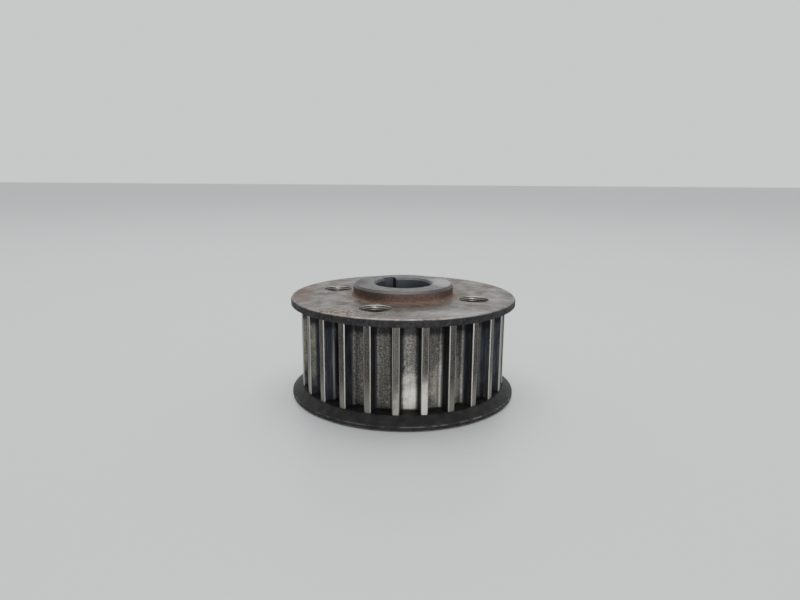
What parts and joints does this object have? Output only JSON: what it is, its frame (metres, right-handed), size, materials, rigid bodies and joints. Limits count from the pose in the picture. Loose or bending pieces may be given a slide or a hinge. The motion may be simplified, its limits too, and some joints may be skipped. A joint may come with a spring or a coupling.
{
  "type": "timing belt pulley",
  "caption": "Toothed steel belt pulley between two guide flanges, with a keyed bore in a short boss and tapped bolt holes.",
  "frame": {"origin": "on the bore's axis at the rear face of the hub, which is also what the pulley stands on", "axes": "+Z along the bore, out of the front boss; +X through the middle of one tooth groove"},
  "size_m": [0.0686, 0.0686, 0.0339],
  "materials": {
    "sintered_steel": "sintered and turned, polished on the tooth tips, rusted on the boss",
    "rusted_sheet_steel": "bare sheet with a thin brown rust bloom",
    "blackened_sheet_steel": "black oxide, matt, worn bright on the rim"
  },
  "bodies": {
    "root": {"pulley_body": "sintered_steel", "front_guide_flange": "rusted_sheet_steel", "rear_guide_flange": "blackened_sheet_steel"}
  },
  "joints": []
}
